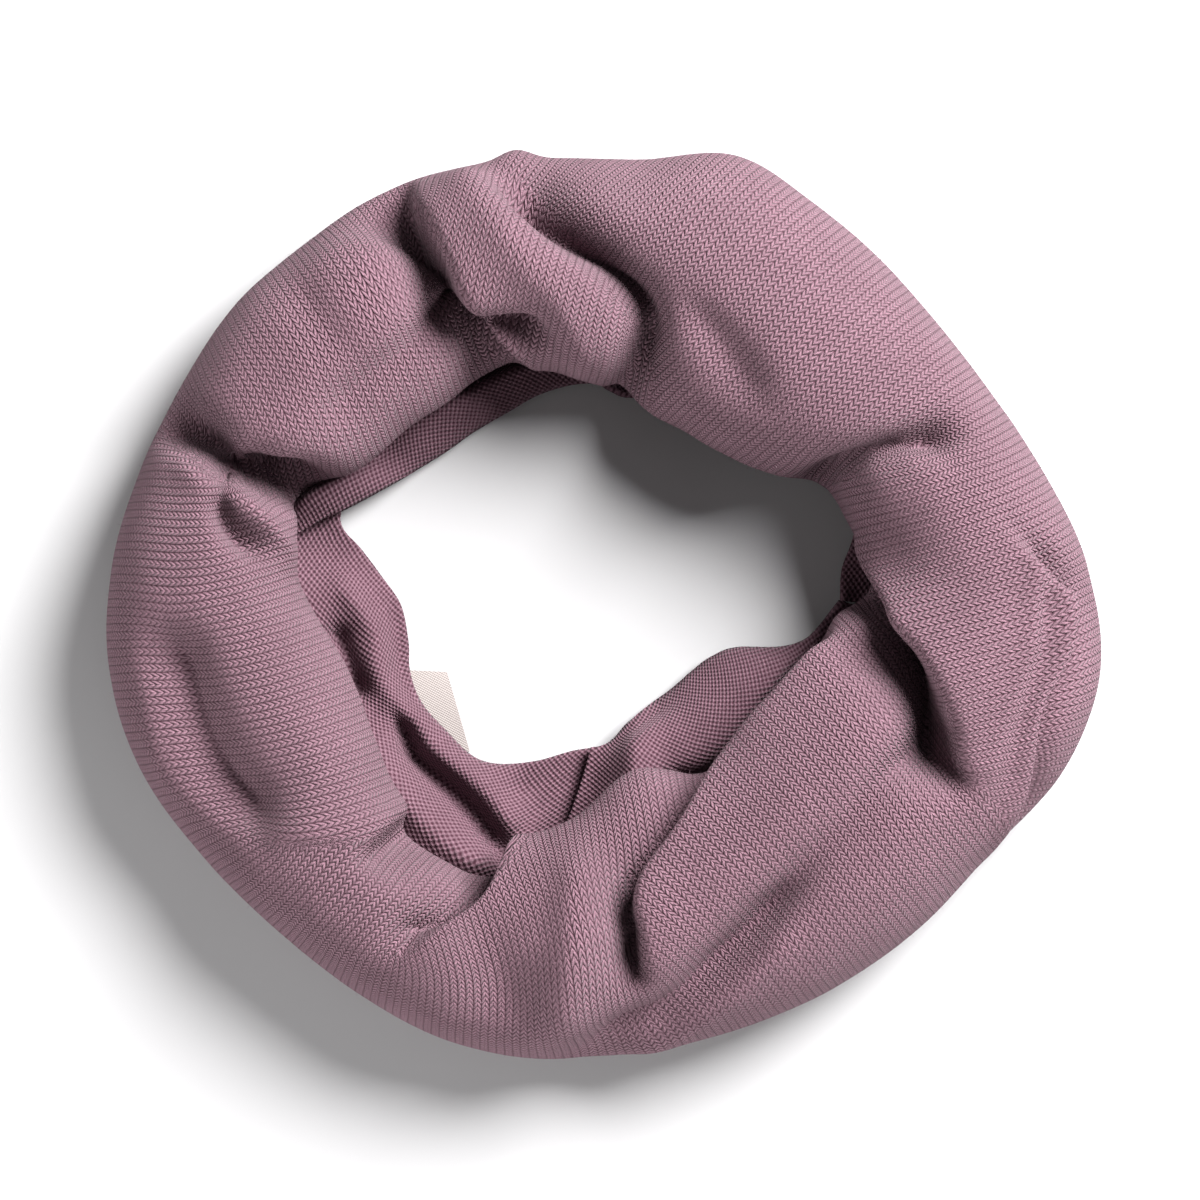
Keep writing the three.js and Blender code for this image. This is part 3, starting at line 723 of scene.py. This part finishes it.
def stitch_counts(tree):
    """The wale and course counts, each shaken a little so that no row is ruler straight."""
    layer = tree.add("ShaderNodeUVMap", uv_map="stitches")
    split = tree.add("ShaderNodeSeparateXYZ")
    tree.links.new(layer.outputs["UV"], split.inputs[0])
    shaken = []
    for socket, scale, size in ((split.outputs[0], 330, 0.16), (split.outputs[1], 270, 0.22)):
        shake = tree.math("MULTIPLY_ADD", tree.noise(scale), size, -size / 2)
        shaken.append(tree.math("ADD", socket, shake))
    return shaken


def knit_height(tree, wale, course):
    """A V of two slanted yarns in each stitch, thinnest at its foot and between two wales."""
    from_middle = tree.math("ABSOLUTE", tree.math("MULTIPLY_ADD", tree.math("FRACT", wale), 2.0, -1.0))
    slanted = tree.math("FRACT", tree.math("MULTIPLY_ADD", from_middle, 0.8, course))
    yarn = tree.math("POWER", tree.math("SINE", tree.math("MULTIPLY", slanted, math.pi)), 0.8)
    foot = tree.math("MULTIPLY_ADD", tree.ramp(from_middle, 0.0, 0.25), 0.25, 0.75)
    between = tree.math("MULTIPLY_ADD", tree.ramp(from_middle, 0.62, 1.0), -0.56, 1.0)
    thick = tree.math("MULTIPLY", foot, between)
    return tree.math("MULTIPLY", thick, tree.math("MULTIPLY_ADD", yarn, 0.7, 0.3))


def purl_height(tree, wale, course):
    """Short bumps, every other one half a wale and half a course on."""
    across = tree.math("COSINE", tree.math("MULTIPLY", wale, 2 * math.pi))
    along = tree.math("COSINE", tree.math("MULTIPLY", course, 2 * math.pi))
    return tree.math("MULTIPLY_ADD", tree.math("MULTIPLY", across, along), 0.34, 0.5)


def jersey(name, height_of, relief, yarn, gap_shade):
    tree = Tree(name)
    wale, course = stitch_counts(tree)
    height = height_of(tree, wale, course)
    heather = tree.noise(2200, 3.0)
    mottle = tree.noise(60, 3.0)
    pale = tuple(min(1.0, channel * 1.3) for channel in yarn)
    deep = tuple(channel * 0.8 for channel in yarn)
    yarn_colour = tree.mix(tree.ramp(heather, 0.3, 0.7), deep, pale)
    yarn_colour = tree.mix(tree.math("MULTIPLY", tree.ramp(mottle, 0.3, 0.7), 0.35), yarn_colour, deep)
    # Painted shade: where the yarn's height is low, between and under the yarns, the colour goes to the dark
    # gap shade.
    colour = tree.mix(tree.ramp(height, 0.17, 0.74), gap_shade, yarn_colour)
    tree.links.new(colour, tree.shader.inputs["Base Color"])
    fuzz = tree.math("MULTIPLY_ADD", tree.noise(2600, 2.0), 0.3, height)
    bump = tree.add("ShaderNodeBump")
    bump.inputs["Strength"].default_value = 1.0
    bump.inputs["Distance"].default_value = relief
    tree.links.new(fuzz, bump.inputs["Height"])
    tree.links.new(bump.outputs["Normal"], tree.shader.inputs["Normal"])
    tree.shader.inputs["Roughness"].default_value = 0.95
    tree.shader.inputs["Specular IOR Level"].default_value = 0.15
    tree.shader.inputs["Sheen Weight"].default_value = 0.06
    tree.shader.inputs["Sheen Roughness"].default_value = 0.45
    tree.shader.inputs["Sheen Tint"].default_value = (1.0, 0.88, 0.93, 1.0)
    return tree.material


knit_jersey = jersey("knit_jersey", knit_height, 0.0008, YARN, GAP_SHADE)
purl_jersey = jersey("purl_jersey", purl_height, 0.0006, tuple(c * 0.92 for c in YARN), GAP_SHADE)
print("finishes:", knit_jersey.name, purl_jersey.name)

# %% The rolled stretch
roll = cloth_piece(
    "rolled_cloth", roll_points, roll_wales, roll_courses, knit_jersey,
    is_ring=True, total=wales_round, cut=cut_faces, slopes=roll_slopes, passes=3)
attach(roll, "root")
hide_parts("rolled_stretch")
print("cloth area", round(cloth_area(roll), 4), "square metres")

# %% [markdown]
# ## The purl lips
#
# Inside the ring the tube's lower end comes out from under the roll, purl side up, in three stretches. They
# lie flat on the table under the roll, rise to a soft crest and come down to the hem. Where two meet, one
# tucks under the other, so each is its own grid. root is how far outside the roll's inner edge a lip starts
# to rise, and the smaller lean is, the closer to there its crest lies.

# %% Stretches of the lip
LIPS = [
    dict(name="upper_lip", flat=(0.32, 0.034), root=3.2, lean=0.42,
         start=(-7.2, -7.2), end=(182, 182), laps=(0, 19), tucks=(0, 0), hem=[
        (-8, 56), (0, 55), (12, 59), (24, 52), (36, 44), (50, 40), (75, 40), (92, 42.5),
        (108, 42.3), (120, 41.6), (132, 42.5), (144, 44.6), (156, 50), (165, 57.5), (171, 66), (177, 75),
        (183, 78)]),
    dict(name="left_lip", flat=(0.19, 0.042), root=6, lean=0.27,
         start=(165, 165), end=(263, 275), laps=(0, 0), tucks=(5, 10), hem=[
        (164, 60.5), (170, 60), (175, 54.5), (182, 49.5), (190, 46), (200, 46.5),
        (208, 49), (216, 50.5), (226, 50.5), (238, 51), (250, 46.5), (262, 41.5), (276, 40)]),
    dict(name="lower_lip", flat=(0.17, 0.045), root=3.2, lean=0.42,
         start=(251, 267), end=(352.4, 352.4), laps=(14, 0), tucks=(0, 0), hem=[
        (250, 41.5), (270, 40), (280, 35.3), (290, 32.6), (302, 31.4), (312, 31), (322, 32), (331, 36),
        (340, 48), (353, 56)]),
]
LIP_WAVES = [
    # angle, distance, height, reach
    (128, 49, 2, 9), (152, 56, -2, 7), (184, 60, 2.5, 8), (200, 60, 2, 7),
    (226, 62, 3, 9), (247, 58, -2.5, 8), (276, 44, 2, 8), (300, 40, 3, 10),
]
LIP_FOLDS = [
    # name, path, left, right, reach left, reach right, turn, over, fade
    ("left_slit", [(-46.5, -29), (-44.5, -34), (-39, -39.5), (-32, -46), (-26.5, -53), (-21.5, -59)],
     -11, -4, 4, 2, 1.0, 1.5, 5),
    ("slit_ridge", [(-42, -27), (-39, -32), (-33.5, -37), (-27.5, -43), (-21.5, -50), (-17, -56)],
     6, 6, 4.5, 4.5, 2, 0, 6),
    ("left_lobe", [(-50, -38), (-43, -46), (-36, -52.5), (-29, -59)], 4.5, 4.5, 5, 5, 2, 0, 6),
    ("left_hem_ridge", [(-57, 2), (-52, -6), (-51, -15), (-46, -24)], 3.2, 3.2, 2.8, 2.8, 1, 0, 6),
    ("left_hem_dip", [(-47, -3), (-46, -12), (-43, -20)], -2.2, -2.2, 2.2, 2.2, 1, 0, 6),
    ("left_gap", [(-60.5, -7), (-58.5, -12), (-56.5, -18)], -7, -7, 2.2, 2.2, 1, 0, 3),
    ("lower_hem_dimple", [(-18, -40), (-15, -37)], -2.6, -2.6, 3, 3, 1, 0, 5),
    ("lower_lip_fold", [(-21, -56), (-14, -46), (-4, -36), (10, -26)], -2, 2.4, 3, 5, 1.4, 0, 6),
]
LIP_STEP = 0.9
LIP_ACROSS = 44
LAP_LIFT = 3.1
LAP_RAMP = 14
LIP_RISE = 16
LIP_CREST = 8.5
LIP_CREST_SHARE = 0.5
LIP_HEM_HEIGHT = 1.2
FOOT_SHARE = 0.22
SEAM_GAP = 0.3


def hem_reach(rows, angle):
    """The hem's distance from the centre, as a smooth curve through its rows."""
    curve = smooth_curve(np.array(rows, dtype=float), 12)
    return np.interp(angle, curve[:, 0], curve[:, 1])


def lip_points(lip):
    """A lip's upper face, from the roll's foot in to its hem."""
    count = int((lip["end"][0] - lip["start"][0]) / LIP_STEP)
    along = np.linspace(0, 1, count + 1)[:, None]
    inward = np.linspace(0, 1, LIP_ACROSS + 1)[None, :]
    start = lip["start"][0] + (lip["start"][1] - lip["start"][0]) * inward
    end = lip["end"][0] + (lip["end"][1] - lip["end"][0]) * inward
    angle = start + (end - start) * along
    outer = around_ring(OUTER, angle)
    edge = around_ring(EDGE, angle)
    foot = outer - FOOT_SHARE * (outer - edge) - SEAM_GAP
    hem = hem_reach(lip["hem"], angle)
    distance = foot + (hem - foot) * inward
    points = ring_points(angle, distance, 0.0)
    width = edge + lip["root"] - hem
    reach = np.clip((edge + lip["root"] - distance) / np.maximum(width, 1), 0, 1)
    waves = np.zeros_like(distance)
    for wave_angle, wave_distance, height, spread in LIP_WAVES:
        centre = ring_points(np.array(wave_angle), np.array(wave_distance), 0.0)
        waves += height * np.exp(-(np.linalg.norm(points - centre, axis=-1) / spread) ** 2)
    crest = np.minimum(LIP_CREST, width * LIP_CREST_SHARE) + waves * smooth_step(width, 0, 14)
    rise = smooth_step(angle - start - lip["tucks"][0], 0, LIP_RISE)
    rise = rise * smooth_step(end - lip["tucks"][1] - angle, 0, LIP_RISE)
    arch = np.sin(np.pi * reach ** lip["lean"]) ** 0.8 * crest * rise
    lift = np.zeros_like(distance)
    for lap, away in zip(lip["laps"], (angle - start, end - angle)):
        if lap:
            lift += (1 - smooth_step(away, lap, lap + LAP_RAMP)) * LAP_LIFT
    folded, _ = fold_moves(points[..., :2], LIP_FOLDS)
    folded = folded * rise * smooth_step(reach, 0.03, 0.25) + 0.35 * soft_noise(points, 8, 5.3)
    points[..., 2] = np.maximum(0, arch + folded) + LIP_HEM_HEIGHT * smooth_step(reach, 0.3, 1) + lift + 2
    return points


for lip in LIPS:
    points = lip_points(lip)
    outward = points[..., :2] - RING_CENTRE
    outward /= np.linalg.norm(outward, axis=-1, keepdims=True)
    keep = np.ones(points.shape[:-1])
    keep[-1] = 0
    wales, courses, _, _ = counted(points, outward, False, keep, 1.0)
    piece = cloth_piece(lip["name"] + "_cloth", points, wales, courses, purl_jersey)
    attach(piece, "root")
    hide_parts(lip["name"])
    lip["piece"] = piece
    print(lip["name"], "area", round(cloth_area(piece), 4), "of", round(lip["flat"][0] * lip["flat"][1], 4))

# %% [markdown]
# ## Loose fibres
#
# Wool yarn is hairy, and it shows most along the outline, where single fibres stand against the pale table.
# Each one is a thin bent ribbon of two quads, stood on the roll's faces at random and joined into one light
# mesh.

# %% Loose fibres on the roll
FIBRES = 8000
FIBRE_LENGTH = (0.5, 1.9)
FIBRE_WIDTH = 0.05
rng = np.random.default_rng(12)
outer_faces = [polygon for polygon in roll.data.polygons if polygon.normal.z > -0.5]
chosen = rng.choice(len(outer_faces), FIBRES)
fuzz_bm = bmesh.new()
for pick in chosen:
    polygon = outer_faces[pick]
    normal = polygon.normal
    side = normal.orthogonal().normalized()
    side.rotate(Quaternion(normal, rng.uniform(0, 2 * math.pi)))
    length = rng.uniform(*FIBRE_LENGTH) * MM
    rise = rng.uniform(0.25, 0.9)
    bend = rng.uniform(-0.5, 0.5)
    across = normal.cross(side) * FIBRE_WIDTH / 2 * MM
    middle = polygon.center + (normal * rise + side * (1 - rise)) * length / 2
    tip = middle + (normal * (rise - 0.3) + side * (1.2 - rise) + across.normalized() * bend) * length / 2
    ends = []
    for point, share in ((polygon.center, 1.0), (middle, 0.8), (tip, 0.25)):
        ends.append((fuzz_bm.verts.new(point - across * share), fuzz_bm.verts.new(point + across * share)))
    for (a, b), (c, d) in zip(ends, ends[1:]):
        fuzz_bm.faces.new((a, b, d, c))
fuzz_mesh = bpy.data.meshes.new("loose_fibres")
fuzz_bm.to_mesh(fuzz_mesh)
fuzz_bm.free()
fuzz = bpy.data.objects.new("loose_fibres", fuzz_mesh)
bpy.context.scene.collection.objects.link(fuzz)
fuzz_finish = bpy.data.materials.new("loose_wool")
fuzz_finish.use_nodes = True
fuzz_finish.node_tree.nodes["Principled BSDF"].inputs["Base Color"].default_value = (
    *(channel * 1.3 for channel in YARN), 1.0)
fuzz_finish.node_tree.nodes["Principled BSDF"].inputs["Roughness"].default_value = 0.9
fuzz_mesh.materials.append(fuzz_finish)
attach(fuzz, "root")
print(FIBRES, "fibres")

# %% [markdown]
# ## The layers inside
#
# The rest of the tube is crumpled up inside the roll. Nothing of it shows, so one plain soft ring stands
# for it, made of one section carried round the ring and divided once to round it. It stays low enough to
# clear the folds, and it is coloured with the painted shade of the stitch gaps, not with the yarn.

# %% The soft ring inside the roll
CORE_AROUND = 96
CORE_SHAPE = [
    # inward, height
    (0.3, 0.16), (0.2, 0.24), (0.28, 0.3), (0.5, 0.32),
    (0.72, 0.3), (0.8, 0.24), (0.7, 0.16), (0.5, 0.14),
]
core_bm = bmesh.new()
core_angles = np.linspace(0, 360, CORE_AROUND, endpoint=False)[:, None]
core_rows = np.array(CORE_SHAPE)
core_width = around_ring(OUTER, core_angles) - around_ring(EDGE, core_angles)
core_points = ring_points(
    core_angles,
    around_ring(OUTER, core_angles) - core_rows[None, :, 0] * core_width,
    core_rows[None, :, 1] * around_ring(TOP, core_angles),
)
core_verts = [[core_bm.verts.new(Vector(point) * MM) for point in column] for column in core_points]
for i, column in enumerate(core_verts):
    following = core_verts[(i + 1) % CORE_AROUND]
    for j in range(len(column)):
        after = (j + 1) % len(column)
        core_bm.faces.new((column[j], following[j], following[after], column[after]))
bmesh.ops.subdivide_edges(core_bm, edges=core_bm.edges, cuts=1, smooth=1.0, use_grid_fill=True)
core_mesh = bpy.data.meshes.new("inner_layers")
core_bm.to_mesh(core_mesh)
core_bm.free()
core = bpy.data.objects.new("inner_layers", core_mesh)
bpy.context.scene.collection.objects.link(core)
core_finish = bpy.data.materials.new("inner_jersey_painted_shade")
core_finish.use_nodes = True
# Painted shade: the inner ring takes the dark shade colour of the stitch gaps instead of the yarn's colour.
core_finish.node_tree.nodes["Principled BSDF"].inputs["Base Color"].default_value = (*GAP_SHADE, 1.0)
core_finish.node_tree.nodes["Principled BSDF"].inputs["Roughness"].default_value = 0.95
core_mesh.materials.append(core_finish)
for polygon in core_mesh.polygons:
    polygon.use_smooth = True
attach(core, "root")
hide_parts("hidden_layers")
print("inner ring top", round(max(v.co.z for v in core_mesh.vertices) * 1000, 1), "mm")

# %% [markdown]
# ## The woven tab
#
# A small pale tab is sewn under the left lip's hem. It is bare here: a plain weave with nothing on it.

# %% The tab
TAB_CORNERS = [(-46.5, -13.9), (-36, -14.4), (-30.8, -32.6), (-40.5, -32)]
TAB_THICKNESS = 0.5
TAB_HEIGHT = 0.9
tab_bm = bmesh.new()
bmesh.ops.create_grid(tab_bm, x_segments=10, y_segments=16, size=1.0)
for vert in tab_bm.verts:
    across = (vert.co.x + 1) / 2
    down = (1 - vert.co.y) / 2
    top_left, top_right, low_right, low_left = [Vector(corner) for corner in TAB_CORNERS]
    plan = top_left.lerp(top_right, across).lerp(low_left.lerp(low_right, across), down)
    curl = 0.5 * math.sin(math.pi * down) * across
    vert.co = Vector((plan.x, plan.y, TAB_HEIGHT + curl)) * MM
tab_mesh = bpy.data.meshes.new("woven_tab")
tab_bm.to_mesh(tab_mesh)
tab_bm.free()
tab = bpy.data.objects.new("woven_tab", tab_mesh)
bpy.context.scene.collection.objects.link(tab)
tab_wall = tab.modifiers.new("wall", "SOLIDIFY")
tab_wall.thickness = TAB_THICKNESS * MM
tab_wall.offset = -1
apply_modifiers(tab)
weave = Tree("woven_label")
weave_place = weave.add("ShaderNodeTexCoord")
threads = []
for axis in ((1.0, 0.3, 0.0), (-0.3, 1.0, 0.0)):
    along = weave.add("ShaderNodeVectorMath", operation="DOT_PRODUCT")
    weave.links.new(weave_place.outputs["Object"], along.inputs[0])
    along.inputs[1].default_value = axis
    threads.append(weave.math("SINE", weave.math("MULTIPLY", along.outputs["Value"], 9000.0)))
crossing_height = weave.math("MULTIPLY_ADD", weave.math("MULTIPLY", threads[0], threads[1]), 0.5, 0.5)
weave_colour = weave.mix(crossing_height, (0.21, 0.183, 0.174), (0.265, 0.235, 0.223))
weave.links.new(weave_colour, weave.shader.inputs["Base Color"])
weave_bump = weave.add("ShaderNodeBump")
weave_bump.inputs["Distance"].default_value = 0.0001
weave.links.new(crossing_height, weave_bump.inputs["Height"])
weave.links.new(weave_bump.outputs["Normal"], weave.shader.inputs["Normal"])
weave.shader.inputs["Roughness"].default_value = 0.8
tab.data.materials.clear()
tab.data.materials.append(weave.material)
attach(tab, "root")
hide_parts("label")
print("tab", [round(x * 1000, 1) for x in tab.dimensions], "mm")
